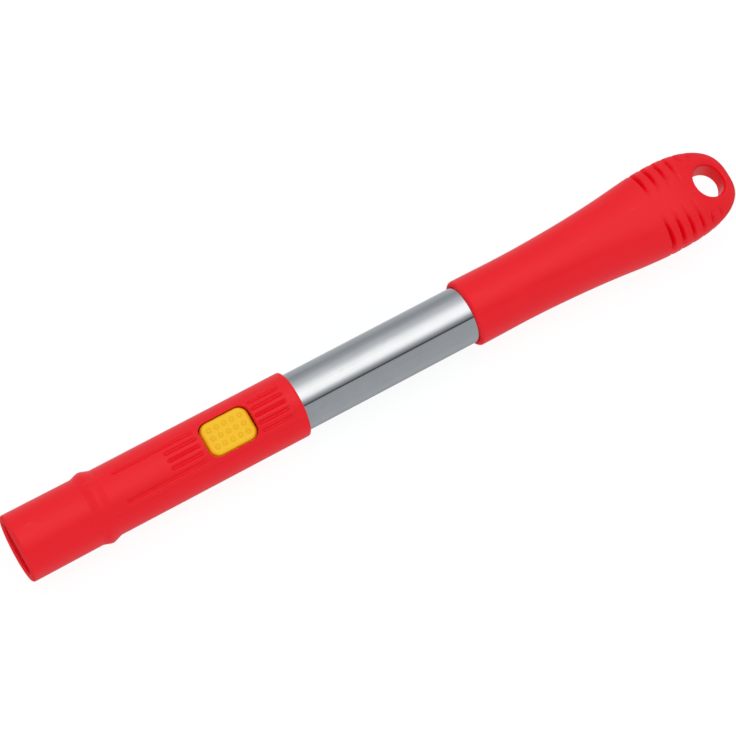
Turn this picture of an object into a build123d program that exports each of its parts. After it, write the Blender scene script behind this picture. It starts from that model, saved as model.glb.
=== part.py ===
from build123d import *

import os
from math import copysign, cos, pi, radians, sin, sqrt

# Short quick-release handle for interchangeable hand tools.
# Millimetres. The handle's axis is X: the mouth of the shank socket is at X = 0 and the hanging
# end points along +X. The push button faces +Z. The origin is the centre of the socket's mouth.

# ---------------------------------------------------------------- driving dimensions
# lengths along the axis
shank_depth = 93.5
tube_seat_depth = 22.0
bare_tube_length = 93.0
grip_length = 151.0

# clearances
press_clearance = 0.10
sliding_clearance = 0.20
running_clearance = 0.05

# socket body
nose_wall = 3.7
nose_waist = 0.2
nose_length = 36.6
collar_rise = 1.2
collar_length = 8.6
collar_round = 2.0
socket_wall = 2.1
rim_round = 1.2
mouth_chamfer = 0.8
panel_height = 0.35
panel_half_angle = 41.0
panel_edge_round = 0.3
web_length = 46.0

# tool shank socket, a round bore with a flat on the button side
shank_diameter = 26.4
shank_flat_height = 5.9
stop_wall = 2.4

# flutes moulded in the panel
flute_radius = 1.1
flute_depth = 0.5
flute_spacing_deg = 13.5
flutes_each_side = 2
long_flute_length = 39.7
short_flute_length = 14.7
front_flute_margin = 3.0
rear_flute_margin = 1.9
rear_flute_length = 14.5

# push button
button_length = 25.0
button_width = 16.8
button_corner = 4.0
button_recess = 2.35
button_lift = 1.1
button_edge_round = 1.3
button_gap = 0.7
button_wall = 4.2
well_front_margin = 1.1
well_rear_margin = 0.8
well_rear_wall = 1.2
dimple_columns = 5
dimple_rows = 3
dimple_pitch_x = 4.05
dimple_pitch_y = 4.3
dimple_radius = 1.15
dimple_depth = 0.35
pip_foot_share = 0.62
pip_top_share = 0.35

# latch
pivot_from_button = 13.0
pin_diameter = 3.0
pin_chamfer = 0.3
lever_width = 8.4
lever_gap = 0.4
lever_thickness = 2.5
lever_tip_bevel = 0.6
lever_rear_margin = 4.0
hook_arm = 30.2
hook_length = 6.4
hook_ramp = 4.4
hook_reach = 2.8
key_height = 3.0
key_corner = 1.0
carrier_nose = 2.6
spring_from_button_centre = 2.5
spring_outer_diameter = 6.6
spring_wire = 0.8
spring_turns = 5
spring_seat_height = -2.6
spring_pocket_depth = 1.6
spring_peg_draft_deg = 8

# tube
tube_diameter = 28.6
tube_wall = 1.2
tube_end_margin = 8.0
spigot_wall = 2.4

# tube end plug
plug_flange = 1.5
plug_wall = 1.6
plug_depth = 12.0

# hand grip
grip_wall = 2.5
grip_waist = 0.2
waist_from_front = 27.0
grip_width = 43.5
widest_from_end = 38.0
hanging_end_power = 2.4
crest_from_end = 45.0
crest_fall = 9.6
belly_from_end = 64.0
belly_rise = 13.0
squareness = 0.9
tip_round = 7.0
hang_hole_diameter = 17.4
hang_hole_from_end = 14.1
groove_count = 6
groove_pitch = 5.85
groove_width = 2.4
groove_depth = 1.2
groove_fade = 0.15
first_groove_from_end = 45.5

# blind rivets
rivet_diameter = 3.2
rivet_head_diameter = 6.4
rivet_head_height = 1.0
rivet_head_edge = 0.35
rivet_recess = 0.9
rivet_bulb_diameter = 4.6
rivet_bulb_height = 1.3
grip_rivet_from_front = 16.0

# ---------------------------------------------------------------- sizes that follow
# across the axis
shank_radius = shank_diameter / 2
tube_radius = tube_diameter / 2
tube_bore_radius = tube_radius - tube_wall
nose_radius = shank_radius + nose_wall
body_radius = max(shank_radius, tube_radius + press_clearance) + socket_wall
panel_radius = body_radius + panel_height
collar_radius = max(nose_radius, body_radius) + collar_rise
carrier_radius = shank_radius - press_clearance
spigot_radius = tube_bore_radius - press_clearance

# along the axis, from the mouth to the hanging end
collar_peak = nose_length + collar_length / 2
collar_end = nose_length + collar_length
well_front = shank_depth + stop_wall
button_front = well_front + well_front_margin
button_rear = button_front + button_length
button_centre = (button_front + button_rear) / 2
well_rear = button_rear + well_rear_margin
tube_start = well_rear + well_rear_wall
socket_length = tube_start + tube_seat_depth
socket_rivet_x = tube_start + tube_seat_depth / 2
grip_start = socket_length + bare_tube_length
grip_rivet_x = grip_start + grip_rivet_from_front
overall_length = grip_start + grip_length
tube_end = overall_length - belly_from_end - tube_end_margin
hang_hole_x = overall_length - hang_hole_from_end
window_front = button_front - button_gap
window_rear = button_rear + button_gap

# latch, between the shank's flat and the wall over the lever
slot_width = lever_width + 2 * sliding_clearance
slot_roof = sqrt(shank_radius**2 - (lever_width / 2) ** 2)
pivot_x = button_front - pivot_from_button
pivot_height = (slot_roof + shank_flat_height) / 2
boss_radius = (slot_roof - shank_flat_height) / 2 - lever_gap
lever_bottom = shank_flat_height + lever_gap
lever_top = lever_bottom + lever_thickness
lever_rear = button_rear - lever_rear_margin
hook_front = pivot_x - hook_arm
hook_tip = shank_flat_height - hook_reach
key_length = button_length - 2 * button_wall
button_bottom = lever_top + button_lift
button_top = panel_radius - button_recess
spring_x = button_centre + spring_from_button_centre


def point_on_circle(radius, angle_deg):
    """Y and Z of a point at an angle from the button's side, positive towards +Y."""
    return radius * sin(radians(angle_deg)), radius * cos(radians(angle_deg))


def cut_rivet_seat(x, outer_radius):
    """Cut a rivet's hole and the recess for its head into the underside at x."""
    with Locations((x, 0, -outer_radius)):
        Cylinder(
            rivet_head_diameter / 2 + sliding_clearance, 2 * rivet_recess, mode=Mode.SUBTRACT
        )
        Cylinder(rivet_diameter / 2 + running_clearance, outer_radius, mode=Mode.SUBTRACT)


# ---------------------------------------------------------------- socket body
def cut_flute(start, end, angle_deg):
    """Cut one round-bottomed flute, with round ends, into the raised panel."""
    y, z = point_on_circle(panel_radius + flute_radius - flute_depth, angle_deg)
    with Locations(((start + end) / 2, y, z)):
        Cylinder(flute_radius, end - start, rotation=(0, 90, 0), mode=Mode.SUBTRACT)
    with Locations((start, y, z), (end, y, z)):
        Sphere(flute_radius, mode=Mode.SUBTRACT)


with BuildPart() as socket_body:
    # turned outside: nose, collar and body
    with BuildSketch(Plane.XZ) as outside:
        with BuildLine():
            Polyline(
                (0, 0),
                (0, nose_radius),
                (nose_length, nose_radius - nose_waist),
                (collar_peak, collar_radius),
                (collar_end, body_radius),
                (socket_length, body_radius),
                (socket_length, 0),
                close=True,
            )
        make_face()
        rims = outside.vertices().filter_by(lambda v: v.Y > 0).sort_by(Axis.X)
        fillet((rims[0], rims[-1]), rim_round)
        fillet(outside.vertices().filter_by(lambda v: abs(v.X - collar_peak) < 0.1), collar_round)
    revolve(axis=Axis.X)

    # raised panel on the button's side, from the collar to the rear rim
    with BuildSketch(Plane.YZ.offset(collar_peak)) as panel:
        Circle(panel_radius)
        Circle(body_radius - 1, mode=Mode.SUBTRACT)
        edge_y, edge_z = point_on_circle(2 * panel_radius, panel_half_angle)
        with BuildLine():
            Polyline((0, 0), (edge_y, edge_z), (-edge_y, edge_z), close=True)
        make_face(mode=Mode.INTERSECT)
        fillet(panel.vertices().group_by(SortBy.DISTANCE)[-1], panel_edge_round)
    extrude(amount=socket_length - rim_round - collar_peak)

    # mouth and shank bore, flat on the button's side
    with BuildSketch(Plane.YZ) as shank_section:
        Circle(shank_radius)
        with Locations((0, shank_flat_height + shank_radius)):
            Rectangle(4 * shank_radius, 2 * shank_radius, mode=Mode.SUBTRACT)
    extrude(amount=web_length, mode=Mode.SUBTRACT)
    mouth = socket_body.faces().sort_by(Axis.X)[0].inner_wires().edges()
    chamfer(mouth, mouth_chamfer)

    # chamber for the latch carrier, then the pocket for the tube
    with BuildSketch(Plane.YZ.offset(web_length)):
        Circle(shank_radius)
    extrude(amount=tube_start - web_length, mode=Mode.SUBTRACT)
    with BuildSketch(Plane.YZ.offset(tube_start)):
        Circle(tube_radius + press_clearance)
    extrude(amount=tube_seat_depth, mode=Mode.SUBTRACT)

    # window for the button
    with BuildSketch(Plane.XY.offset(shank_flat_height)):
        with Locations((button_centre, 0)):
            RectangleRounded(
                button_length + 2 * button_gap,
                button_width + 2 * button_gap,
                button_corner + button_gap,
            )
    extrude(amount=2 * body_radius, mode=Mode.SUBTRACT)

    # flutes ahead of the button and behind it
    front_end = window_front - front_flute_margin
    rear_start = window_rear + rear_flute_margin
    for step in range(-flutes_each_side, flutes_each_side + 1):
        length = long_flute_length if abs(step) == flutes_each_side else short_flute_length
        cut_flute(front_end - length, front_end, step * flute_spacing_deg)
        cut_flute(rear_start, rear_start + rear_flute_length, step * flute_spacing_deg)

    cut_rivet_seat(socket_rivet_x, body_radius)

# ---------------------------------------------------------------- latch carrier
with BuildPart() as latch_carrier:
    # arm above the shank flat, plug behind the shank, spigot inside the tube
    with BuildSketch(Plane.YZ.offset(web_length + press_clearance)) as arm_section:
        Circle(carrier_radius)
        with Locations((0, shank_flat_height + sliding_clearance - carrier_radius)):
            Rectangle(4 * carrier_radius, 2 * carrier_radius, mode=Mode.SUBTRACT)
    extrude(amount=shank_depth - web_length)
    with BuildSketch(Plane.YZ.offset(shank_depth)):
        Circle(carrier_radius)
    extrude(amount=tube_start - shank_depth)
    with BuildSketch(Plane.YZ.offset(tube_start)):
        Circle(spigot_radius)
    extrude(amount=tube_seat_depth)
    with BuildSketch(Plane.YZ.offset(tube_start)):
        Circle(spigot_radius - spigot_wall)
    extrude(amount=tube_seat_depth, mode=Mode.SUBTRACT)

    # slot for the lever, right through the arm
    slot_front = web_length + press_clearance + carrier_nose
    with BuildSketch(Plane.XY.offset(hook_tip + 1)):
        with Locations(((slot_front + button_centre) / 2, 0)):
            Rectangle(button_centre - slot_front, slot_width)
    extrude(amount=2 * carrier_radius, mode=Mode.SUBTRACT)

    # well for the button, lever end and spring
    with BuildSketch(Plane.XY.offset(spring_seat_height + spring_pocket_depth)):
        with Locations(((well_front + well_rear) / 2, 0)):
            Rectangle(well_rear - well_front, button_width + 2 * button_gap)
    extrude(amount=2 * carrier_radius, mode=Mode.SUBTRACT)
    with BuildSketch(Plane.XY.offset(spring_seat_height)):
        with Locations((spring_x, 0)):
            Circle(spring_outer_diameter / 2 + sliding_clearance)
    extrude(amount=carrier_radius, mode=Mode.SUBTRACT)

    # cross bore for the pin, then the rivet hole
    with BuildSketch(Plane.XZ.offset(-carrier_radius)):
        with Locations((pivot_x, pivot_height)):
            Circle(pin_diameter / 2)
    extrude(amount=2 * carrier_radius, mode=Mode.SUBTRACT)
    with BuildSketch(Plane.XY.offset(-carrier_radius)):
        with Locations((socket_rivet_x, 0)):
            Circle(rivet_diameter / 2 + running_clearance)
    extrude(amount=carrier_radius / 2, mode=Mode.SUBTRACT)

# ---------------------------------------------------------------- latch lever
with BuildPart() as latch_lever:
    with BuildSketch(Plane.XZ):
        with BuildLine():
            Polyline(
                (hook_front, lever_top - lever_tip_bevel),
                (hook_front, lever_bottom),
                (hook_front + hook_ramp, hook_tip),
                (hook_front + hook_length, hook_tip),
                (hook_front + hook_length, lever_bottom),
                (lever_rear, lever_bottom),
                (lever_rear, lever_top),
                (hook_front + 2 * hook_length, lever_top),
                close=True,
            )
        make_face()
        with Locations((pivot_x, pivot_height)):
            Circle(boss_radius)
    extrude(amount=lever_width / 2, both=True)

    # key that the button clips on to
    with BuildSketch(Plane.XY.offset(lever_top)):
        with Locations((button_centre, 0)):
            RectangleRounded(key_length, lever_width, key_corner)
    extrude(amount=key_height)

    # bore on the pin, and the peg that centres the spring
    with BuildSketch(Plane.XZ.offset(-lever_width)):
        with Locations((pivot_x, pivot_height)):
            Circle(pin_diameter / 2 + running_clearance)
    extrude(amount=2 * lever_width, mode=Mode.SUBTRACT)
    peg_radius = spring_outer_diameter / 2 - spring_wire - 2 * sliding_clearance
    with BuildSketch(Plane.XY.offset(lever_bottom)):
        with Locations((spring_x, 0)):
            Circle(peg_radius)
    extrude(amount=-spring_pocket_depth, taper=spring_peg_draft_deg)

# ---------------------------------------------------------------- push button
with BuildPart() as release_button:
    with BuildSketch(Plane.XY.offset(button_bottom)):
        with Locations((button_centre, 0)):
            RectangleRounded(button_length, button_width, button_corner)
    extrude(amount=button_top - button_bottom)
    fillet(release_button.faces().sort_by(Axis.Z)[-1].edges(), button_edge_round)

    # hollow for the lever's key
    with BuildSketch(Plane.XY.offset(button_bottom)):
        with Locations((button_centre, 0)):
            RectangleRounded(
                key_length + 2 * press_clearance,
                lever_width + 2 * press_clearance,
                key_corner + press_clearance,
            )
    extrude(amount=lever_top + key_height + press_clearance - button_bottom, mode=Mode.SUBTRACT)

    # raised grip pips, each in a shallow round dish
    with GridLocations(dimple_pitch_x, dimple_pitch_y, dimple_columns, dimple_rows):
        with Locations((button_centre, 0, button_top)):
            Cylinder(dimple_radius, 2 * dimple_depth, mode=Mode.SUBTRACT)
            Cone(
                dimple_radius * pip_foot_share,
                dimple_radius * pip_top_share,
                2 * dimple_depth,
            )

# ---------------------------------------------------------------- pivot pin
pin_top = pivot_height + pin_diameter / 2
pin_half_length = sqrt((carrier_radius - press_clearance) ** 2 - pin_top**2)
with BuildPart() as latch_pin:
    with BuildSketch(Plane.XZ):
        with Locations((pivot_x, pivot_height)):
            Circle(pin_diameter / 2)
    extrude(amount=pin_half_length, both=True)
    chamfer(latch_pin.edges().filter_by(GeomType.CIRCLE), pin_chamfer)

# ---------------------------------------------------------------- return spring
spring_height = lever_bottom - spring_seat_height - 2 * running_clearance
spring_mean_radius = (spring_outer_diameter - spring_wire) / 2
spring_base = spring_seat_height + running_clearance
spring_pitch = (spring_height - spring_wire) / spring_turns
with BuildPart() as return_spring:
    with BuildLine() as coil:
        Helix(
            pitch=spring_pitch,
            height=spring_height - spring_wire,
            radius=spring_mean_radius,
            center=(spring_x, 0, spring_base + spring_wire / 2),
        )
    with BuildSketch(Plane(origin=coil.line @ 0, z_dir=coil.line % 0)):
        Circle(spring_wire / 2)
    sweep(is_frenet=True)

# ---------------------------------------------------------------- tube
with BuildPart() as handle_tube:
    with BuildSketch(Plane.YZ.offset(tube_start + press_clearance)):
        Circle(tube_radius)
        Circle(tube_bore_radius, mode=Mode.SUBTRACT)
    extrude(amount=tube_end - tube_start - press_clearance)
    with BuildSketch(Plane.XY.offset(-tube_radius - 1)):
        with Locations((socket_rivet_x, 0), (grip_rivet_x, 0)):
            Circle(rivet_diameter / 2 + running_clearance)
    extrude(amount=tube_radius / 2, mode=Mode.SUBTRACT)

with BuildPart() as tube_end_plug:
    with BuildSketch(Plane.YZ.offset(tube_end - plug_depth)):
        Circle(spigot_radius)
    extrude(amount=plug_depth)
    with BuildSketch(Plane.YZ.offset(tube_end)):
        Circle(tube_radius)
    extrude(amount=plug_flange)
    with BuildSketch(Plane.YZ.offset(tube_end - plug_depth)):
        Circle(spigot_radius - plug_wall)
    extrude(amount=plug_depth, mode=Mode.SUBTRACT)

# ---------------------------------------------------------------- hand grip
front_radius = tube_radius + grip_wall
waist_radius = front_radius - grip_waist
waist_x = grip_start + waist_from_front
widest_x = overall_length - widest_from_end
crest_start = overall_length - crest_from_end
belly_start = overall_length - belly_from_end
section_points = 36
# share of the way from the waist to the widest place, and share of the swell reached there
flare_profile = ((0.17, 0.05), (0.42, 0.24), (0.61, 0.48), (0.79, 0.79), (0.91, 0.965))
# shares of the way from the widest place to the tip
end_profile = (0.0, 0.18, 0.36, 0.52, 0.66, 0.78, 0.87, 0.94, 0.98, 0.995)


def half_width_at(x):
    """Half the grip's width at a place past its widest one."""
    way = (x - widest_x) / widest_from_end
    return grip_width / 2 * (1 - max(0.0, way) ** hanging_end_power) ** (1 / hanging_end_power)


def crest_at(x):
    """Height of the grip's button side above the axis."""
    share = max(0.0, x - crest_start) / crest_from_end
    return front_radius - crest_fall * share**2.5


def belly_at(x):
    """Depth of the grip's underside below the axis."""
    share = max(0.0, x - belly_start) / belly_from_end
    return front_radius - belly_rise * share**1.5 * (2.5 - 1.5 * share)


def tip_taper(x):
    """Share of the section's height left by the round of the tip."""
    over = max(0.0, x - (overall_length - tip_round)) / tip_round
    return sqrt(1 - over**2)


def grip_section(x, half_width, height_share=1.0, trim=0.0):
    """Closed outline of the grip at x: a circle at the front, squarer towards the flat end."""
    middle = (crest_at(x) - belly_at(x)) / 2
    half_height = (crest_at(x) + belly_at(x)) / 2 * height_share - trim
    flatness = max(0.0, x - waist_x) / (overall_length - waist_x)
    power = 2 / (2 + squareness * flatness**2)
    points = []
    for step in range(section_points):
        across = cos(2 * pi * step / section_points)
        up = sin(2 * pi * step / section_points)
        y = half_width * copysign(abs(across) ** power, across)
        z = half_height * copysign(abs(up) ** power, up)
        points.append((y, middle + z))
    Spline(*points, periodic=True)


stations = [
    (grip_start, front_radius),
    (grip_start + waist_from_front / 2, (front_radius + waist_radius) / 2),
    (waist_x, waist_radius),
]
for way, share in flare_profile:
    x = waist_x + way * (widest_x - waist_x)
    stations.append((x, waist_radius + share * (grip_width / 2 - waist_radius)))
for way in end_profile:
    x = widest_x + way * widest_from_end
    stations.append((x, half_width_at(x)))

grip_bore_end = tube_end + plug_flange + sliding_clearance
with BuildPart() as hand_grip:
    for x, half_width in stations:
        with BuildSketch(Plane.YZ.offset(x)):
            with BuildLine():
                grip_section(x, half_width, tip_taper(x))
            make_face()
    loft()

    # bevel of the front rim, turned away
    with BuildSketch(Plane.XZ):
        with BuildLine():
            Polyline(
                (grip_start - rim_round, front_radius - 2 * rim_round),
                (grip_start + 2 * rim_round, front_radius + rim_round),
                (grip_start - rim_round, front_radius + rim_round),
                close=True,
            )
        make_face()
    revolve(axis=Axis.X, mode=Mode.SUBTRACT)

    # bore for the tube, hanging hole, rivet hole and its recess
    with Locations(((grip_start + grip_bore_end) / 2, 0, 0)):
        Cylinder(
            tube_radius + press_clearance,
            grip_bore_end - grip_start,
            rotation=(0, 90, 0),
            mode=Mode.SUBTRACT,
        )
    with Locations((hang_hole_x, 0, 0)):
        Cylinder(hang_hole_diameter / 2, 4 * front_radius, mode=Mode.SUBTRACT)
    cut_rivet_seat(grip_rivet_x, front_radius)

    # grooves across the flat end, deep at the sides and nearly gone at the crest
    for count in range(groove_count):
        x = overall_length - first_groove_from_end + count * groove_pitch
        with BuildSketch(Plane.YZ.offset(x - groove_width / 2)):
            Rectangle(2 * grip_width, 2 * grip_width)
            with BuildLine():
                grip_section(x, half_width_at(x) - groove_depth, trim=groove_fade)
            make_face(mode=Mode.SUBTRACT)
        extrude(amount=groove_width, mode=Mode.SUBTRACT)


# ---------------------------------------------------------------- blind rivets
def rivet_outline(x, seat_radius, inner_radius):
    """Half section of a blind rivet set from below: domed head, shank, and the bulb set inside."""
    head_foot = -seat_radius - rivet_head_height
    bulb_foot = -sqrt(inner_radius**2 - (rivet_bulb_diameter / 2) ** 2) + sliding_clearance
    Polyline(
        (x, head_foot),
        (x + rivet_head_diameter / 4, head_foot),
        (x + rivet_head_diameter / 2, -seat_radius - rivet_head_edge),
        (x + rivet_head_diameter / 2, -seat_radius),
        (x + rivet_diameter / 2, -seat_radius),
        (x + rivet_diameter / 2, bulb_foot),
        (x + rivet_bulb_diameter / 2, bulb_foot),
        (x + rivet_bulb_diameter / 2, bulb_foot + rivet_bulb_height),
        (x, bulb_foot + rivet_bulb_height),
        close=True,
    )


with BuildPart() as socket_rivet:
    with BuildSketch(Plane.XZ):
        with BuildLine():
            rivet_outline(socket_rivet_x, body_radius - rivet_recess, spigot_radius - spigot_wall)
        make_face()
    revolve(axis=Axis((socket_rivet_x, 0, 0), (0, 0, 1)))

with BuildPart() as grip_rivet:
    with BuildSketch(Plane.XZ):
        with BuildLine():
            rivet_outline(grip_rivet_x, front_radius - rivet_recess, tube_bore_radius)
        make_face()
    revolve(axis=Axis((grip_rivet_x, 0, 0), (0, 0, 1)))

os.makedirs("parts", exist_ok=True)
pieces = {
    "socket_body": socket_body,
    "latch_carrier": latch_carrier,
    "latch_lever": latch_lever,
    "release_button": release_button,
    "latch_pin": latch_pin,
    "return_spring": return_spring,
    "handle_tube": handle_tube,
    "tube_end_plug": tube_end_plug,
    "hand_grip": hand_grip,
    "socket_rivet": socket_rivet,
    "grip_rivet": grip_rivet,
}
for name, piece in pieces.items():
    piece.part.label = name
    export_step(piece.part, f"parts/{name}.step")
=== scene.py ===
"""Looks for a short quick-release hand-tool handle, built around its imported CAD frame.

The handle lies along X: the socket's mouth is at X = 0 and the push button faces +Z. Pieces are
shaped in millimetres, from the frame's own sizes where it gives them, and scaled to metres when
they are finished. Turns round the axis are in degrees from +Z towards +Y.
"""

import math

import bmesh
import bpy
from mathutils import Matrix, Vector


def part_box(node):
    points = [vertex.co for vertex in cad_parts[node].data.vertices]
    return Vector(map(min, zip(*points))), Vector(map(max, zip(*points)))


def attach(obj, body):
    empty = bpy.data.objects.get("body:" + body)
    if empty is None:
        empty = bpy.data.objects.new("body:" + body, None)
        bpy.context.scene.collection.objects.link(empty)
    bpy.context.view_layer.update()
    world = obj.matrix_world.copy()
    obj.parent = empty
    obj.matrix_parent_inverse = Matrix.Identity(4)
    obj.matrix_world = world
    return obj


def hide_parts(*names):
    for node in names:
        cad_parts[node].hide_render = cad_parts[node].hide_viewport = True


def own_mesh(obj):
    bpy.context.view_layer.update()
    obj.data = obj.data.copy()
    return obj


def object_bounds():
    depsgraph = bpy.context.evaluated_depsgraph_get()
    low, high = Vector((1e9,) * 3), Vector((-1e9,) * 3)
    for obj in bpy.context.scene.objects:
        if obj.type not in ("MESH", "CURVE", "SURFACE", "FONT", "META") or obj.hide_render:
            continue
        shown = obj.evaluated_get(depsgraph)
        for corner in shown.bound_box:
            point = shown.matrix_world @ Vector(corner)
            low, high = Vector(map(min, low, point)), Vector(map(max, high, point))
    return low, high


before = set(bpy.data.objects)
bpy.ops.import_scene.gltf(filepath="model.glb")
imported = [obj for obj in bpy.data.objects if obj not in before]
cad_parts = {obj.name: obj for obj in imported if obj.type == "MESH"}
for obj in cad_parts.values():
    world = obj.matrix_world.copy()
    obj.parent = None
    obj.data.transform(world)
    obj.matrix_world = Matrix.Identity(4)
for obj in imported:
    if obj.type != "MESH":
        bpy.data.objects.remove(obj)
cad_low, cad_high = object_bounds()
MM = 0.001


def box_mm(node):
    """Lowest and highest corner of a CAD node, in millimetres."""
    low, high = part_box(node)
    return low / MM, high / MM


# ---------------------------------------------------------------- sizes, in millimetres
socket_high = box_mm("socket_body")[1]
carrier_high = box_mm("latch_carrier")[1]
button_low, button_high = box_mm("release_button")
tube_low, tube_high = box_mm("handle_tube")
grip_low, grip_high = box_mm("hand_grip")
plug_high = box_mm("tube_end_plug")[1]
spring_low, spring_high = box_mm("return_spring")

# socket body
press_clearance = 0.1
nose_wall = 3.7
tube_wall = 1.2
socket_wall = 2.1
socket_end = socket_high.x
collar_radius = socket_high.z
shank_radius = carrier_high.y + press_clearance
shank_flat = 5.9
nose_radius = shank_radius + nose_wall
nose_waist = 0.2
nose_length = 36.6
collar_length = 8.6
collar_crown = 0.3
collar_run_in = 0.6
collar_run_out = 1.0
tube_radius = tube_high.y
tube_bore_radius = tube_radius - tube_wall
pocket_radius = tube_radius + press_clearance
pocket_bevel = 0.12
body_radius = pocket_radius + socket_wall
panel_height = 0.35
panel_half_angle = 41.0
panel_edge = 0.6
flat_end = 46.0
rim_round = 1.2
mouth_bevel = 0.8

# flutes in the raised panel; the outermost ones, past wide_flute_angle, are the long ones
flute_angles = (-27.0, -13.5, 0.0, 13.5, 27.0)
wide_flute_angle = 20.0
flute_width = 1.45
flute_depth = 1.15
long_flute = 39.7
short_flute = 14.7
rear_flute = 14.5
front_flute_margin = 3.0
rear_flute_margin = 1.9

# push button and its window
button_centre = (button_low.x + button_high.x) / 2
button_flange = 0.3
button_half_length = (button_high.x - button_low.x) / 2 - button_flange
button_half_width = button_high.y
button_corner = 4.7
button_round = 1.6
pip_height = 0.35
button_top = button_high.z - pip_height
button_step = button_top - 1.9
button_edge_bevel = 0.2
pip_pitch_x = 4.05
pip_pitch_y = 4.3
pips_each_way_x = 2
pips_each_way_y = 1
pip_flat_radius = 0.35
pip_foot_radius = 0.95
dish_inner_wall = (0.55, 1.0)
dish_outer_wall = (1.1, 1.6)
dish_depth = 0.28
window_gap = 0.7
window_side_gap = 0.5
window_rear_gap = 0.3
window_round = 0.55
window_block_turn = 37.0
window_inner_block_turn = 46.0
window_front = button_low.x - window_gap
window_rear = button_high.x + window_rear_gap

# grip: its crest falls and its belly rises towards the hanging end
bare_tube_length = 93.0
grip_length = 151.0
grip_wall = 2.5
grip_waist = 0.2
crest_length = 45.0
crest_fall = 9.6
belly_length = 64.0
belly_rise = 13.0
tip_length = 7.0
hanging_end_power = 2.4
squareness = 0.9
tip_margin = 0.005
side_margin = 0.03
grip_start = grip_low.x
grip_end = socket_end + bare_tube_length + grip_length
grip_tip = grip_high.x - tip_margin
grip_half_width = (grip_high.y - grip_low.y) / 2 - side_margin
front_radius = tube_radius + grip_wall
waist_radius = front_radius - grip_waist
waist_x = grip_start + 27.0
widest_x = grip_end - 38.0
crest_start = grip_end - crest_length
belly_start = grip_end - belly_length
grip_round = 1.8
grip_bore_end = plug_high.x + 0.2

# hanging hole, with an edge that is rounder towards the tip
hang_hole_x = grip_end - 14.1
hang_hole_radius = 8.45
near_rim_round = 0.35
far_rim_round = 3.9
hole_block_turn = 47.0
hole_pulls = (0.25, 0.34, 0.5)

# grooves, shallower towards the tip
groove_count = 6
groove_pitch = 5.85
first_groove_x = grip_end - 45.5
groove_places = [first_groove_x + groove_pitch * count for count in range(groove_count)]
groove_half_width = 1.35
first_groove_depth = 3.1
last_groove_depth = 1.0

# return spring under the lever
spring_wire = 0.8
spring_turns = 5
spring_steps_a_turn = 40

# rivets, and the loops round the edge of their recess: growth in radius, and depth below the
# surface, which is None on the recess's floor
rivet_seat_radius = 3.4
rivet_seat_margin = 1.6
rivet_recess = 0.9
rivet_seat_loops = ((0.25, 0.0), (0.1, 0.07), (0.0, 0.25), (0.0, None))
socket_rivet_x = (box_mm("socket_rivet")[0].x + box_mm("socket_rivet")[1].x) / 2
grip_rivet_x = (box_mm("grip_rivet")[0].x + box_mm("grip_rivet")[1].x) / 2

# finish of the meshes
merge_distance = 0.002
sharp_angle = 35.0


# ---------------------------------------------------------------- small helpers
def ease(value, start, end):
    """0 before start, 1 after end, and a soft step between them."""
    share = min(1.0, max(0.0, (value - start) / (end - start)))
    return share * share * (3 - 2 * share)


def ramp_up(value, start, end):
    """0 before start, 1 after end, and a nearly straight slope between them."""
    straight = min(1.0, max(0.0, (value - start) / (end - start)))
    return (ease(value, start, end) + straight) / 2


def spread(start, end, pitch):
    """Evenly spaced places from start to end, both included, about pitch apart."""
    count = max(1, round((end - start) / pitch))
    return [start + (end - start) * step / count for step in range(count + 1)]


def quarter(steps):
    """Sine and cosine shares of a quarter turn, from its start to its end."""
    turns = [math.pi / 2 * step / steps for step in range(steps + 1)]
    return [(math.sin(turn), math.cos(turn)) for turn in turns]


def rounded_outline(u, v, half_x, half_y, corner):
    """Point of a rounded rectangle for a point (u, v) on the edge of a square of half size 1."""
    x, y = u * half_x, v * half_y
    over_x, over_y = abs(x) - (half_x - corner), abs(y) - (half_y - corner)
    if over_x > 0 and over_y > 0:
        pull = corner / math.hypot(over_x, over_y)
        x = math.copysign(half_x - corner + over_x * pull, x)
        y = math.copysign(half_y - corner + over_y * pull, y)
    return x, y


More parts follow.
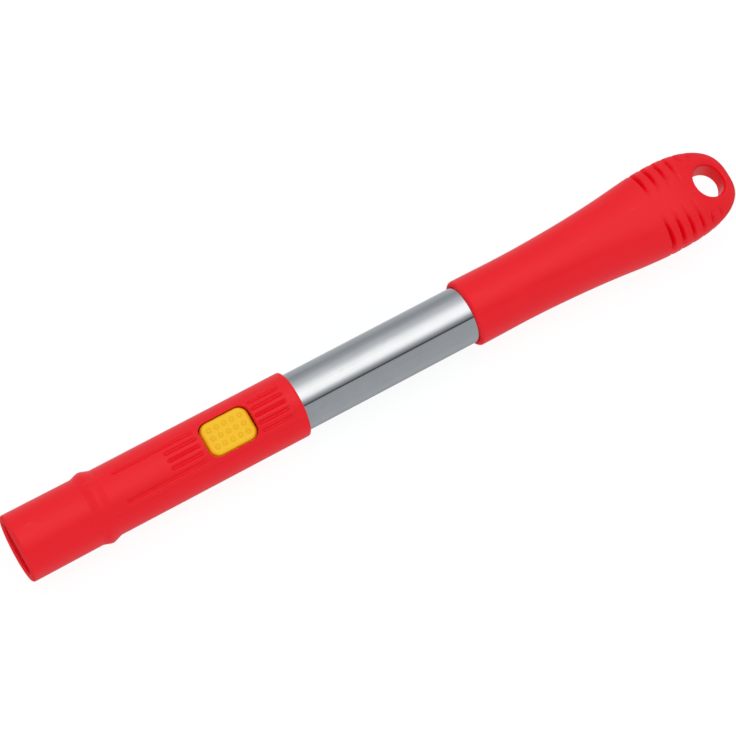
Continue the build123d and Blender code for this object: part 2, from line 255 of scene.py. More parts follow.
class Skin:
    """A piece skinned by rings of the same number of points, each point knowing its place.

    along is a point's X, turn its angle round the axis in degrees, and skin the wall it belongs
    to. They are kept in layers that an extruded point inherits, so that windows and recesses can
    be opened in the skin afterwards.
    """

    def __init__(self, turns):
        self.bm = bmesh.new()
        self.along = self.bm.verts.layers.float.new("along")
        self.turn = self.bm.verts.layers.float.new("turn")
        self.skin = self.bm.verts.layers.int.new("skin")
        made = bmesh.ops.create_circle(self.bm, segments=len(turns), radius=1.0)
        for vert, angle in zip(made["verts"], turns):
            vert[self.turn] = angle
        self.edges = list(self.bm.edges)
        self.started = False

    def place(self, verts, skin, x, point):
        """Put the points of a ring where they belong."""
        for vert in verts:
            vert[self.along] = x
            vert[self.skin] = skin
            vert.co = point(x, vert[self.turn])

    def ring(self, skin, x, point):
        """Add a ring at x, whose points are point(x, turn)."""
        if not self.started:
            self.started = True
            self.place(self.bm.verts, skin, x, point)
            return
        made = bmesh.ops.extrude_edge_only(self.bm, edges=self.edges)["geom"]
        verts = [part for part in made if isinstance(part, bmesh.types.BMVert)]
        self.edges = [
            part for part in made if isinstance(part, bmesh.types.BMEdge) and part.is_boundary
        ]
        self.place(verts, skin, x, point)

    def open_block(self, skin, x_low, x_high, turn_low, turn_high):
        """Take out the faces of a block and return its edge, with the edge's limits in X and turn."""
        def inside(face):
            x = sum(vert[self.along] for vert in face.verts) / len(face.verts)
            turn = sum(vert[self.turn] for vert in face.verts) / len(face.verts)
            same = all(vert[self.skin] == skin for vert in face.verts)
            return same and x_low < x < x_high and turn_low < turn < turn_high

        faces = [face for face in self.bm.faces if inside(face)]
        taken = set(faces)
        edges = dict.fromkeys(edge for face in faces for edge in face.edges)
        rim = [edge for edge in edges if sum(face in taken for face in edge.link_faces) == 1]
        bmesh.ops.delete(self.bm, geom=faces, context="FACES")
        verts = {vert for edge in rim for vert in edge.verts}
        xs = [vert[self.along] for vert in verts]
        turns = [vert[self.turn] for vert in verts]
        return rim, (min(xs), max(xs), min(turns), max(turns))

    def inset_loop(self, rim, point):
        """Extrude an open edge and move each new point to point(along, turn, old place)."""
        made = bmesh.ops.extrude_edge_only(self.bm, edges=rim)["geom"]
        verts = [part for part in made if isinstance(part, bmesh.types.BMVert)]
        for vert in verts:
            vert.co = point(vert[self.along], vert[self.turn], vert.co)
        return [
            part for part in made if isinstance(part, bmesh.types.BMEdge) and part.is_boundary
        ]


def finish_piece(bm, name, body, nodes, material):
    """Turn a bmesh in millimetres into a smooth piece in metres that rides on its CAD body."""
    bmesh.ops.remove_doubles(bm, verts=bm.verts, dist=merge_distance)
    bmesh.ops.recalc_face_normals(bm, faces=bm.faces)
    bmesh.ops.scale(bm, vec=(MM, MM, MM), verts=bm.verts)
    mesh = bpy.data.meshes.new(name)
    bm.to_mesh(mesh)
    bm.free()
    mesh.materials.append(material)
    mesh.shade_smooth()
    mesh.set_sharp_from_angle(angle=math.radians(sharp_angle))
    piece = bpy.data.objects.new(name, mesh)
    bpy.context.scene.collection.objects.link(piece)
    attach(piece, body)
    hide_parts(*nodes)
    return piece


# ---------------------------------------------------------------- socket body
def flute_cut(x, y):
    """Depth of the flutes, cut straight down from above, at a place on the panel."""
    deepest = 0.0
    front_end = window_front - front_flute_margin
    rear_start = window_rear + rear_flute_margin
    for angle in flute_angles:
        across = y - body_radius * math.sin(math.radians(angle))
        length = long_flute if abs(angle) > wide_flute_angle else short_flute
        for start, end in ((front_end - length, front_end), (rear_start, rear_start + rear_flute)):
            past = max(start - x, 0.0, x - end)
            away = math.hypot(past, across) / flute_width
            deepest = max(deepest, flute_depth * (1 - ease(away, 0.0, 1.0)))
    return deepest


def socket_radius(x, turn):
    """Outer radius of the socket: nose, collar, and the body with its raised and fluted panel."""
    turn = (turn + 180) % 360 - 180
    collar_peak = nose_length + collar_length / 2
    nose = nose_radius - nose_waist * min(1.0, x / nose_length)
    panel = 1 - ease(abs(turn), panel_half_angle - panel_edge, panel_half_angle + panel_edge)
    body = body_radius + panel_height * panel
    if x < collar_peak:
        rise = ramp_up(x, nose_length - collar_run_in, collar_peak - collar_crown)
        return nose + (collar_radius - nose) * rise
    collar_end = nose_length + collar_length
    fall = ramp_up(x, collar_peak + collar_crown, collar_end + collar_run_out)
    return collar_radius + (body - collar_radius) * fall


def round_point(radius):
    """Ring shape: a plain circle."""
    def point(x, turn):
        angle = math.radians(turn)
        return Vector((x, radius * math.sin(angle), radius * math.cos(angle)))

    return point


def shank_point(grow):
    """Ring shape: the shank bore, round with a flat on the button's side."""
    def point(x, turn):
        up = math.cos(math.radians(turn))
        radius = shank_radius + grow
        if up > 0:
            radius = min(radius, (shank_flat + grow) / up)
        return round_point(radius)(x, turn)

    return point


def outer_point(inset):
    """Ring shape: the socket's outside with its flutes, moved in by inset."""
    def point(x, turn):
        place = round_point(socket_radius(x, turn) - inset)(x, turn)
        if place.z > 0:
            place.z -= flute_cut(x, place.y)
        return place

    return point


def open_rivet_seat(skin, x, seat_radius):
    """Open the round recess for a rivet's head in the underside at x."""
    half = rivet_seat_radius + rivet_seat_margin
    reach = math.degrees(half / seat_radius)
    rim, (x0, x1, t0, t1) = skin.open_block(0, x - half, x + half, 180 - reach, 180 + reach)
    floor = -(seat_radius - rivet_recess)

    def seat_point(grow, drop):
        def point(along, turn, _):
            u = 2 * (along - x0) / (x1 - x0) - 1
            v = 2 * (turn - t0) / (t1 - t0) - 1
            radius = rivet_seat_radius + grow
            dx, y = rounded_outline(u, -v, radius, radius, radius)
            z = floor if drop is None else -math.sqrt(seat_radius**2 - y * y) + drop
            return Vector((x + dx, y, z))

        return point

    for grow, drop in rivet_seat_loops:
        rim = skin.inset_loop(rim, seat_point(grow, drop))
    bmesh.ops.contextual_create(skin.bm, geom=rim)


def socket_turns():
    """Angles of the socket's points: close together over the panel, wider apart elsewhere.

    One point on each side lies on the corner between the shank bore's flat and its round.
    """
    fine_end = 46.0
    fine = spread(-fine_end, fine_end, 0.92)
    corner = math.degrees(math.acos(shank_flat / shank_radius))
    right = spread(fine_end, corner, 4.4)[1:] + spread(corner, 180.0, 5.2)[1:]
    left = [360.0 - turn for turn in reversed(right[:-1])]
    return fine + right + left


def make_socket(material):
    """Socket from its mouth to its rear end outside, and back through its pocket and bores."""
    skin = Skin(socket_turns())
    panel_radius = body_radius + panel_height
    body_rings = spread(2.5, 35.0, 4.0)
    body_rings += spread(35.6, 47.0, 0.35)
    body_rings += spread(47.6, socket_end - rim_round, 0.55)
    for sine, cosine in quarter(6):
        x = rim_round * (1 - cosine)
        skin.ring(0, x, outer_point(rim_round * (1 - sine)))
    for x in body_rings:
        skin.ring(0, x, outer_point(0.0))
    for sine, cosine in quarter(6)[1:]:
        x = socket_end - rim_round * (1 - sine)
        skin.ring(0, x, outer_point(rim_round * (1 - cosine)))
    skin.ring(1, socket_end, round_point(pocket_radius + pocket_bevel))
    skin.ring(1, socket_end - pocket_bevel, round_point(pocket_radius))
    skin.ring(1, tube_low.x, round_point(pocket_radius))
    skin.ring(1, tube_low.x, round_point(shank_radius))
    for x in reversed(spread(flat_end, window_rear + 1.0, 1.0)):
        skin.ring(1, x, round_point(shank_radius))
    skin.ring(2, flat_end, shank_point(0.0))
    skin.ring(2, mouth_bevel, shank_point(0.0))
    skin.ring(2, 0.0, shank_point(mouth_bevel))
    skin.ring(2, 0.0, outer_point(rim_round))

    # window for the button, with a soft edge outside and straight walls
    half_x = (window_rear - window_front) / 2
    half_y = button_half_width + window_side_gap
    corner = button_corner + window_side_gap
    centre = (window_front + window_rear) / 2
    block_front, block_rear = window_front - 1.6, window_rear + 0.7

    def window_point(limits, grow, radius, drop):
        x0, x1, t0, t1 = limits

        def point(along, turn, _):
            u = 2 * (along - x0) / (x1 - x0) - 1
            v = 2 * (turn - t0) / (t1 - t0) - 1
            dx, y = rounded_outline(u, v, half_x + grow, half_y + grow, corner + grow)
            return Vector((centre + dx, y, math.sqrt(radius**2 - y * y) - drop))

        return point

    turn = window_block_turn
    rim, limits = skin.open_block(0, block_front, block_rear, -turn, turn)
    for sine, cosine in quarter(5):
        grow, drop = window_round * (1 - sine), window_round * (1 - cosine)
        rim = skin.inset_loop(rim, window_point(limits, grow, panel_radius, drop))
    outer_rim = skin.inset_loop(rim, window_point(limits, 0.0, shank_radius, -0.4))
    turn = window_inner_block_turn
    rim, limits = skin.open_block(1, block_front, block_rear, -turn, turn)
    inner_rim = skin.inset_loop(rim, window_point(limits, 0.0, shank_radius, 0.0))
    bmesh.ops.bridge_loops(skin.bm, edges=outer_rim + inner_rim)

    open_rivet_seat(skin, socket_rivet_x, body_radius)
    return finish_piece(skin.bm, "socket_shell", "handle", ["socket_body"], material)


# ---------------------------------------------------------------- grip
# widening from the waist to the widest place: share of the way, and share of the widening
widening = ((0.17, 0.05), (0.42, 0.24), (0.61, 0.48), (0.79, 0.79), (0.91, 0.965), (1.0, 1.0))
half_width_points = [
    (grip_start, front_radius),
    (grip_start + 13.5, (front_radius + waist_radius) / 2),
    (waist_x, waist_radius),
]
for way, share in widening:
    x = waist_x + way * (widest_x - waist_x)
    half_width = waist_radius + share * (grip_half_width - waist_radius)
    half_width_points.append((x, half_width))


def curve_through(points, x):
    """Smooth curve through a few points, with level ends."""
    index = max(i for i in range(len(points) - 1) if x >= points[i][0])
    (x0, y0), (x1, y1) = points[index], points[index + 1]
    step = x1 - x0

    def slope(i):
        if i in (0, len(points) - 1):
            return 0.0
        return (points[i + 1][1] - points[i - 1][1]) / (points[i + 1][0] - points[i - 1][0])

    s = (x - x0) / step
    rise = y1 - y0
    m0, m1 = slope(index) * step, slope(index + 1) * step
    return y0 + s * m0 + s * s * (3 * rise - 2 * m0 - m1) + s**3 * (m0 + m1 - 2 * rise)


def groove_cut(x):
    """Depth of the nearest groove at x: 0 between grooves, and less in those nearer the tip."""
    nearest = min(groove_places, key=lambda place: abs(x - place))
    away = abs(x - nearest) / groove_half_width
    if away >= 1:
        return 0.0
    share = (nearest - groove_places[0]) / (groove_places[-1] - groove_places[0])
    depth = first_groove_depth + share * (last_groove_depth - first_groove_depth)
    return depth * math.cos(math.pi / 2 * away) ** 2


def grip_half_at(x):
    """Half width of the grip at x."""
    if x <= widest_x:
        return curve_through(half_width_points, max(x, grip_start))
    way = min(1.0, (x - widest_x) / (grip_end - widest_x))
    return grip_half_width * (1 - way**hanging_end_power) ** (1 / hanging_end_power)


def grip_section(x):
    """Half width, half height, middle height and squareness of the grip's section at x."""
    crest = front_radius - crest_fall * (max(0.0, x - crest_start) / crest_length) ** 2.5
    rise = max(0.0, x - belly_start) / belly_length
    belly = front_radius - belly_rise * rise**1.5 * (2.5 - 1.5 * rise)
    over = max(0.0, x - (grip_end - tip_length)) / tip_length
    taper = math.sqrt(max(0.0, 1 - over**2))
    flatness = max(0.0, x - waist_x) / (grip_end - waist_x)
    power = 2 + squareness * flatness**2
    return grip_half_at(x), (crest + belly) / 2 * taper, (crest - belly) / 2, power


def groove_reach(turn):
    """Share of a groove's depth: full on the shoulders, none on the crest, slight at the sides."""
    away = abs((turn + 90) % 180 - 90)
    return ease(away, 6.0, 50.0) * (1 - 0.9 * ease(away, 60.0, 80.0))


def grip_point(inset):
    """Ring shape: the grip's outside with its grooves, moved in by inset."""
    def point(x, turn):
        half_width, half_height, middle, power = grip_section(x)
        across, up = math.sin(math.radians(turn)), math.cos(math.radians(turn))
        y = (half_width - inset) * math.copysign(abs(across) ** (2 / power), across)
        z = (half_height - inset) * math.copysign(abs(up) ** (2 / power), up)
        cut = groove_cut(x) * groove_reach(turn)
        keep = 1 - cut / max(1.0, math.hypot(y, z))
        return Vector((x, y * keep, middle + z * keep))

    return point


def grip_height(x, y, side):
    """Height of the grip's surface over a point, on the button's side (1) or underneath (-1)."""
    half_width, half_height, middle, power = grip_section(x)
    across = min(1.0, abs(y) / half_width)
    return middle + side * half_height * (1 - across**power) ** (1 / power)


def open_hang_hole(skin, side):
    """Open the hanging hole on the button's side (1) or underneath (-1), down to the middle."""
    centre_turn = 0.0 if side > 0 else 180.0
    block_front = hang_hole_x - hang_hole_radius - 1.8
    block_rear = hang_hole_x + hang_hole_radius + 4.55
    low_turn, high_turn = centre_turn - hole_block_turn, centre_turn + hole_block_turn
    rim, _ = skin.open_block(0, block_front, block_rear, low_turn, high_turn)

    def hole_point(spread_share, drop_share, pull):
        """Place on the hole's edge, or pull of the way to it from the old place."""
        def point(along, turn, old):
            angle = math.atan2(old.y, old.x - hang_hole_x)
            far = ((1 + math.cos(angle)) / 2) ** 0.7 if side > 0 else 0.0
            rounding = near_rim_round + (far_rim_round - near_rim_round) * far
            drop = rounding * drop_share
            radius = hang_hole_radius + rounding * spread_share
            x = hang_hole_x + radius * math.cos(angle)
            y = radius * math.sin(angle)
            x, y = old.x + (x - old.x) * pull, old.y + (y - old.y) * pull
            return Vector((x, y, grip_height(x, y, side) - side * drop))

        return point

    for pull in hole_pulls:
        rim = skin.inset_loop(rim, hole_point(1.0, 0.0, pull))
    for sine, cosine in quarter(9):
        rim = skin.inset_loop(rim, hole_point(1 - sine, 1 - cosine, 1.0))

    def middle_point(along, turn, old):
        return Vector((old.x, old.y, grip_section(old.x)[2]))

    skin.inset_loop(rim, middle_point)


def make_grip(material):
    """Grip from the end of its bore, round its front edge, and back to the tip outside."""
    ring_points = 120
    turns = [360.0 * step / ring_points for step in range(ring_points)]
    skin = Skin([turn - 360 if turn > 270 else turn for turn in turns])
    skin.ring(1, grip_bore_end, round_point(pocket_radius))
    skin.ring(1, grip_start + pocket_bevel, round_point(pocket_radius))
    skin.ring(1, grip_start, round_point(pocket_radius + pocket_bevel))
    for sine, cosine in quarter(6):
        skin.ring(0, grip_start + grip_round * (1 - cosine), grip_point(grip_round * (1 - sine)))
    first_groove, last_groove = groove_places[0], groove_places[-1]
    tip_start = grip_end - 5.0
    places = spread(grip_start + 2.4, first_groove - 3.0, 2.2)
    places += spread(first_groove - 2.4, last_groove + 2.6, 0.42)
    places += spread(last_groove + 3.2, tip_start, 0.8)
    places += [grip_end - (grip_end - tip_start) * (1 - sine) for sine, _ in quarter(14)[1:-2]]
    for x in places:
        skin.ring(0, x, grip_point(0.0))
    tip = Vector((grip_tip, 0.0, grip_section(grip_end)[2]))
    last_ring = list(dict.fromkeys(vert for edge in skin.edges for vert in edge.verts))
    bmesh.ops.pointmerge(skin.bm, verts=last_ring, merge_co=tip)
    open_hang_hole(skin, 1)
    open_hang_hole(skin, -1)
    open_rivet_seat(skin, grip_rivet_x, front_radius)
    rim = [edge for edge in skin.bm.edges if edge.is_boundary]
    rim = [edge for edge in rim if all(abs(v.co.x - grip_bore_end) < 0.01 for v in edge.verts)]
    bmesh.ops.contextual_create(skin.bm, geom=rim)
    return finish_piece(skin.bm, "grip_shell", "handle", ["hand_grip"], material)


# ---------------------------------------------------------------- push button
def pip_relief(dx, dy):
    """Height of a rounded pip in its ring-shaped dish, at a place measured from the pip's middle."""
    away = math.hypot(dx, dy)
    dish = ease(away, *dish_inner_wall) * (1 - ease(away, *dish_outer_wall))
    pip = 1 - ease(away, pip_flat_radius, pip_foot_radius)
    return pip_height * 0.8 * pip - dish_depth * dish


def make_button(material):
    """Button from a grid: its top with the pips, a rounded edge, and sides with a flange below."""
    bm = bmesh.new()
    layer_u = bm.verts.layers.float.new("u")
    layer_v = bm.verts.layers.float.new("v")
    bmesh.ops.create_grid(bm, x_segments=96, y_segments=66, size=1.0)

    def top_point(u, v, inset):
        """Point over the top face, with the square's rings drawn into a rounded rectangle."""
        reach = max(abs(u), abs(v), 1e-9)
        half_x, half_y = button_half_length - inset, button_half_width - inset
        corner = max(0.2, button_corner - inset) * reach
        return rounded_outline(u / reach, v / reach, half_x * reach, half_y * reach, corner)

    for vert in bm.verts:
        vert[layer_u], vert[layer_v] = vert.co.x, vert.co.y
        x, y = top_point(vert.co.x, vert.co.y, button_round)
        px = pip_pitch_x * max(-pips_each_way_x, min(pips_each_way_x, round(x / pip_pitch_x)))
        py = pip_pitch_y * max(-pips_each_way_y, min(pips_each_way_y, round(y / pip_pitch_y)))
        vert.co = (button_centre + x, y, button_top + pip_relief(x - px, y - py))
    rim = [edge for edge in bm.edges if edge.is_boundary]

    def lower(rim, inset, z):
        """Extrude the edge to height z, moved in by inset."""
        made = bmesh.ops.extrude_edge_only(bm, edges=rim)["geom"]
        for vert in (part for part in made if isinstance(part, bmesh.types.BMVert)):
            x, y = top_point(vert[layer_u], vert[layer_v], inset)
            vert.co = (button_centre + x, y, z)
        return [
            part for part in made if isinstance(part, bmesh.types.BMEdge) and part.is_boundary
        ]

    for sine, cosine in quarter(7)[1:]:
        rim = lower(rim, button_round * (1 - sine), button_top - button_round * (1 - cosine))
    rim = lower(rim, 0.0, button_step)
    rim = lower(rim, -button_flange, button_step - button_flange / 2)
    rim = lower(rim, -button_flange, button_low.z + button_edge_bevel)
    rim = lower(rim, button_edge_bevel - button_flange, button_low.z)
    bmesh.ops.contextual_create(bm, geom=rim)
    return finish_piece(bm, "button_cap", "latch", ["release_button"], material)


# ---------------------------------------------------------------- tube, rivets and spring
def turn_round(bm, outline, centre, axis, steps):
    """Spin an outline all the way round an axis."""
    bmesh.ops.spin(
        bm, geom=outline, cent=centre, axis=axis, angle=math.tau, steps=steps, use_merge=True
    )


def make_tube(material):
    """Tube turned from the outline of its wall."""
    bm = bmesh.new()
    bevel = 0.25
    # X and radius of each corner
    outline = (
        (tube_low.x, tube_bore_radius + bevel),
        (tube_low.x, tube_radius - bevel),
        (tube_low.x + bevel, tube_radius),
        (tube_high.x - bevel, tube_radius),
        (tube_high.x, tube_radius - bevel),
        (tube_high.x, tube_bore_radius + bevel),
        (tube_high.x - bevel, tube_bore_radius),
        (tube_low.x + bevel, tube_bore_radius),
    )
    verts = [bm.verts.new((x, 0.0, radius)) for x, radius in outline]
    edges = [bm.edges.new((verts[i - 1], verts[i])) for i in range(len(verts))]
    turn_round(bm, verts + edges, (0, 0, 0), (1, 0, 0), 192)
    return finish_piece(bm, "bright_tube", "handle", ["handle_tube"], material)


def make_rivet(name, node, x, seat_radius, material):
    """Domed blind rivet set from below, with the dimple where its stem broke off."""
    bm = bmesh.new()
    low, high = box_mm(node)
    head = -seat_radius
    # radius and height, from the dimple over the head and up the stem to the bulb inside
    outline = (
        (0.0, low.z + 0.45),
        (0.8, low.z + 0.45),
        (0.95, low.z + 0.1),
        (1.3, low.z),
        (2.2, low.z + 0.16),
        (2.9, low.z + 0.45),
        (3.15, low.z + 0.72),
        (3.15, head),
        (1.6, head),
        (1.6, high.z - 1.3),
        (2.3, high.z - 1.3),
        (2.1, high.z - 0.2),
        (0.0, high.z),
    )
    verts = [bm.verts.new((x + radius, 0.0, z)) for radius, z in outline]
    edges = [bm.edges.new(pair) for pair in zip(verts, verts[1:])]
    turn_round(bm, verts + edges, (x, 0, 0), (0, 0, 1), 40)
    return finish_piece(bm, name, "handle", [node], material)


def make_spring(material):
    """Coil between the carrier and the lever, as high as its CAD node."""
    bm = bmesh.new()
    middle = (spring_low + spring_high) / 2
    height = spring_high.z - spring_low.z
    radius = (spring_high.x - spring_low.x - spring_wire) / 2
    steps = spring_steps_a_turn * spring_turns
    bmesh.ops.create_circle(bm, segments=12, radius=spring_wire / 2)
    upright = Matrix.Rotation(math.pi / 2, 3, "X")
    bmesh.ops.rotate(bm, cent=(0, 0, 0), matrix=upright, verts=bm.verts)
    start = (middle.x + radius, 0.0, spring_low.z + spring_wire / 2)
    bmesh.ops.translate(bm, vec=start, verts=bm.verts)
    bmesh.ops.spin(
        bm,
        geom=list(bm.verts) + list(bm.edges),
        cent=(middle.x, 0, 0),
        axis=(0, 0, 1),
        dvec=(0, 0, (height - spring_wire) / steps),
        angle=spring_turns * math.tau,
        steps=steps,
    )
    bmesh.ops.holes_fill(bm, edges=[edge for edge in bm.edges if edge.is_boundary])
    piece = finish_piece(bm, "spring_coil", "handle", ["return_spring"], material)
    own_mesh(piece)


# ---------------------------------------------------------------- shared shader effects
def group_node(tree, kind, **values):
    """Add a node to a node tree and set its plain properties."""
    node = tree.nodes.new(kind)
    for name, value in values.items():
        setattr(node, name, value)
    return node


def new_group(name, inputs):
    """Make a shader node group with named inputs, which puts out a colour, roughness and height."""
    tree = bpy.data.node_groups.new(name, "ShaderNodeTree")
    for label, kind, default in inputs:
        socket = tree.interface.new_socket(label, in_out="INPUT", socket_type=kind)
        socket.default_value = default
    tree.interface.new_socket("Colour", in_out="OUTPUT", socket_type="NodeSocketColor")
    tree.interface.new_socket("Roughness", in_out="OUTPUT", socket_type="NodeSocketFloat")
    tree.interface.new_socket("Height", in_out="OUTPUT", socket_type="NodeSocketFloat")
    return tree, tree.nodes.new("NodeGroupInput"), tree.nodes.new("NodeGroupOutput")


def feed(tree, node, **sources):
    """Give a node's inputs their numbers, or link them to other nodes' outputs."""
    for name, source in sources.items():
        place = node.inputs[name.replace("_", " ")]
        if isinstance(source, (int, float)):
            place.default_value = source
        else:
            tree.links.new(source, place)


def noise(tree, vector, scale, detail, roughness):
    """Noise pattern, from 0 to 1."""
    node = group_node(tree, "ShaderNodeTexNoise")
    feed(tree, node, Vector=vector, Scale=scale, Detail=detail, Roughness=roughness)
    return node.outputs["Fac"]


def map_range(tree, value, low, high, to_low, to_high):
    """Values from low to high stretched to lie from to_low to to_high, and no further."""
    node = group_node(tree, "ShaderNodeMapRange")
    feed(tree, node, Value=value, From_Min=low, From_Max=high, To_Min=to_low, To_Max=to_high)
    return node.outputs["Result"]


def maths(tree, operation, first, second):
    """One arithmetic step on two values."""
    node = group_node(tree, "ShaderNodeMath", operation=operation)
    for place, source in zip(node.inputs, (first, second)):
        if isinstance(source, (int, float)):
            place.default_value = source
        else:
            tree.links.new(source, place)
    return node.outputs["Value"]


def tint(tree, colour, value, saturation=1.0):
    """A colour made lighter or darker, and stronger or paler."""
    node = group_node(tree, "ShaderNodeHueSaturation")
    feed(tree, node, Color=colour, Value=value, Saturation=saturation)
    return node.outputs["Color"]


def stretched(tree, place, scale, rotation=(0.0, 0.0, 0.0)):
    """Coordinates turned and scaled, for a pattern that is longer one way."""
    node = group_node(tree, "ShaderNodeMapping")
    node.inputs["Scale"].default_value = scale
    node.inputs["Rotation"].default_value = rotation
    tree.links.new(place, node.inputs["Vector"])
    return node.outputs["Vector"]


def moulded_group():
    """Moulded plastic: faint flow marks in the colour, fine grain, and light handling scuffs."""
    tree, given, out = new_group(
        "moulded plastic",
        [
            ("Colour", "NodeSocketColor", (0.8, 0.8, 0.8, 1.0)),
            ("Mottle", "NodeSocketFloat", 0.05),
            ("Gloss", "NodeSocketFloat", 0.35),
            ("Grain Scale", "NodeSocketFloat", 1600.0),
            ("Scuffs", "NodeSocketFloat", 0.1),
        ],
    )
    place = group_node(tree, "ShaderNodeTexCoord").outputs["Object"]
    flow = noise(tree, place, 38.0, 5.0, 0.6)
    grain = noise(tree, place, given.outputs["Grain Scale"], 2.0, 0.5)
    streaks = stretched(tree, place, (45.0, 520.0, 520.0), (0.3, 0.25, 0.5))
    scratch = map_range(tree, noise(tree, streaks, 1.0, 3.0, 0.7), 0.62, 0.72, 0.0, 1.0)
    patches = map_range(tree, noise(tree, place, 55.0, 3.0, 0.6), 0.5, 0.75, 0.0, 1.0)
    scuff = maths(tree, "MULTIPLY", scratch, patches)
    scuff = maths(tree, "MULTIPLY", scuff, given.outputs["Scuffs"])
    low = maths(tree, "SUBTRACT", 1.0, given.outputs["Mottle"])
    high = maths(tree, "ADD", 1.0, given.outputs["Mottle"])
    shade = map_range(tree, flow, 0.3, 0.7, low, high)
    worn = tint(tree, given.outputs["Colour"], shade, maths(tree, "SUBTRACT", 1.0, scuff))
    uneven = map_range(tree, flow, 0.3, 0.7, -0.03, 0.04)
    rough = maths(tree, "ADD", given.outputs["Gloss"], uneven)
    rough = maths(tree, "ADD", rough, maths(tree, "MULTIPLY", scuff, 0.4))
    height = maths(tree, "SUBTRACT", grain, maths(tree, "MULTIPLY", scuff, 2.0))
    tree.links.new(worn, out.inputs["Colour"])
    tree.links.new(rough, out.inputs["Roughness"])
    tree.links.new(height, out.inputs["Height"])
    return tree


def drawn_group():
    """Drawn metal: fine lines along X, soft blotches, and a few handling marks."""
    tree, given, out = new_group(
        "drawn metal",
        [
            ("Colour", "NodeSocketColor", (0.8, 0.8, 0.8, 1.0)),
            ("Polish", "NodeSocketFloat", 0.12),
            ("Line Scale", "NodeSocketFloat", 1500.0),
            ("Marks", "NodeSocketFloat", 0.3),
        ],
    )
    place = group_node(tree, "ShaderNodeTexCoord").outputs["Object"]
    drawn_out = stretched(tree, place, (0.012, 1.0, 1.0))
    lines = noise(tree, drawn_out, given.outputs["Line Scale"], 3.0, 0.6)
    blotch = noise(tree, place, 70.0, 4.0, 0.65)
    marks = map_range(tree, noise(tree, place, 160.0, 5.0, 0.75), 0.6, 0.72, 0.0, 1.0)
    marks = maths(tree, "MULTIPLY", marks, given.outputs["Marks"])
    shade = map_range(tree, lines, 0.25, 0.75, 0.94, 1.03)
    shade = maths(tree, "MULTIPLY", shade, map_range(tree, blotch, 0.3, 0.7, 0.955, 1.03))
    shade = maths(tree, "SUBTRACT", shade, maths(tree, "MULTIPLY", marks, 0.12))
    uneven = map_range(tree, lines, 0.3, 0.7, -0.02, 0.03)
    rough = maths(tree, "ADD", given.outputs["Polish"], uneven)
    rough = maths(tree, "ADD", rough, maths(tree, "MULTIPLY", marks, 0.15))
    tree.links.new(tint(tree, given.outputs["Colour"], shade), out.inputs["Colour"])
    tree.links.new(rough, out.inputs["Roughness"])
    tree.links.new(lines, out.inputs["Height"])
    return tree


def finish_material(name, effect, values, bump, **shader):
    """A material whose colour, roughness and relief come from a shared effect."""
    material = bpy.data.materials.new(name)
    material.use_nodes = True
    tree = material.node_tree
    surface = tree.nodes["Principled BSDF"]
    for label, value in shader.items():
        surface.inputs[label.replace("_", " ")].default_value = value
    group = group_node(tree, "ShaderNodeGroup", node_tree=effect)
    for label, value in values.items():
        group.inputs[label].default_value = value
    relief = group_node(tree, "ShaderNodeBump")
    relief.inputs["Distance"].default_value = bump
    relief.inputs["Strength"].default_value = 1.0
    tree.links.new(group.outputs["Colour"], surface.inputs["Base Color"])
    tree.links.new(group.outputs["Roughness"], surface.inputs["Roughness"])
    tree.links.new(group.outputs["Height"], relief.inputs["Height"])
    tree.links.new(relief.outputs["Normal"], surface.inputs["Normal"])
    return material


moulded = moulded_group()
drawn = drawn_group()
red_plastic = finish_material(
    "red moulded plastic",
    moulded,
    {"Colour": (0.88, 0.001, 0.011, 1.0), "Mottle": 0.02, "Gloss": 0.34, "Scuffs": 0.04},
    0.000004,
    Specular_IOR_Level=0.43,
)
yellow_plastic = finish_material(
    "yellow moulded plastic",
    moulded,
    {"Colour": (0.96, 0.55, 0.007, 1.0), "Mottle": 0.015, "Gloss": 0.34, "Scuffs": 0.05},
    0.000010,
    Specular_IOR_Level=0.45,
)
black_plastic = finish_material(
    "black moulded plastic",
    moulded,
    {"Colour": (0.022, 0.021, 0.021, 1.0), "Mottle": 0.12, "Gloss": 0.5, "Scuffs": 0.2},
    0.000020,
)
bright_aluminium = finish_material(
    "bright drawn aluminium",
    drawn,
    {"Colour": (0.86, 0.875, 0.89, 1.0), "Polish": 0.07, "Line Scale": 1500.0, "Marks": 0.8},
    0.0000008,
    Metallic=1.0,
)
bright_steel = finish_material(
    "bright steel wire",
    drawn,
    {"Colour": (0.56, 0.56, 0.57, 1.0), "Polish": 0.25, "Line Scale": 2600.0, "Marks": 0.2},
    0.000002,
    Metallic=1.0,
)
rivet_alloy = finish_material(
    "satin rivet alloy",
    drawn,
    {"Colour": (0.74, 0.745, 0.75, 1.0), "Polish": 0.3, "Line Scale": 2400.0, "Marks": 0.4},
    0.000003,
    Metallic=1.0,
)

make_socket(red_plastic)
make_grip(red_plastic)
make_button(yellow_plastic)
make_tube(bright_aluminium)
socket_seat = body_radius - rivet_recess
grip_seat = front_radius - rivet_recess
make_rivet("socket_rivet_head", "socket_rivet", socket_rivet_x, socket_seat, rivet_alloy)
make_rivet("grip_rivet_head", "grip_rivet", grip_rivet_x, grip_seat, rivet_alloy)
make_spring(bright_steel)

# inner parts keep their CAD shape
for node, material in (
    ("latch_carrier", black_plastic),
    ("latch_lever", black_plastic),
    ("tube_end_plug", black_plastic),
    ("latch_pin", bright_steel),
):
    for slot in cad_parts[node].material_slots:
        slot.material = material


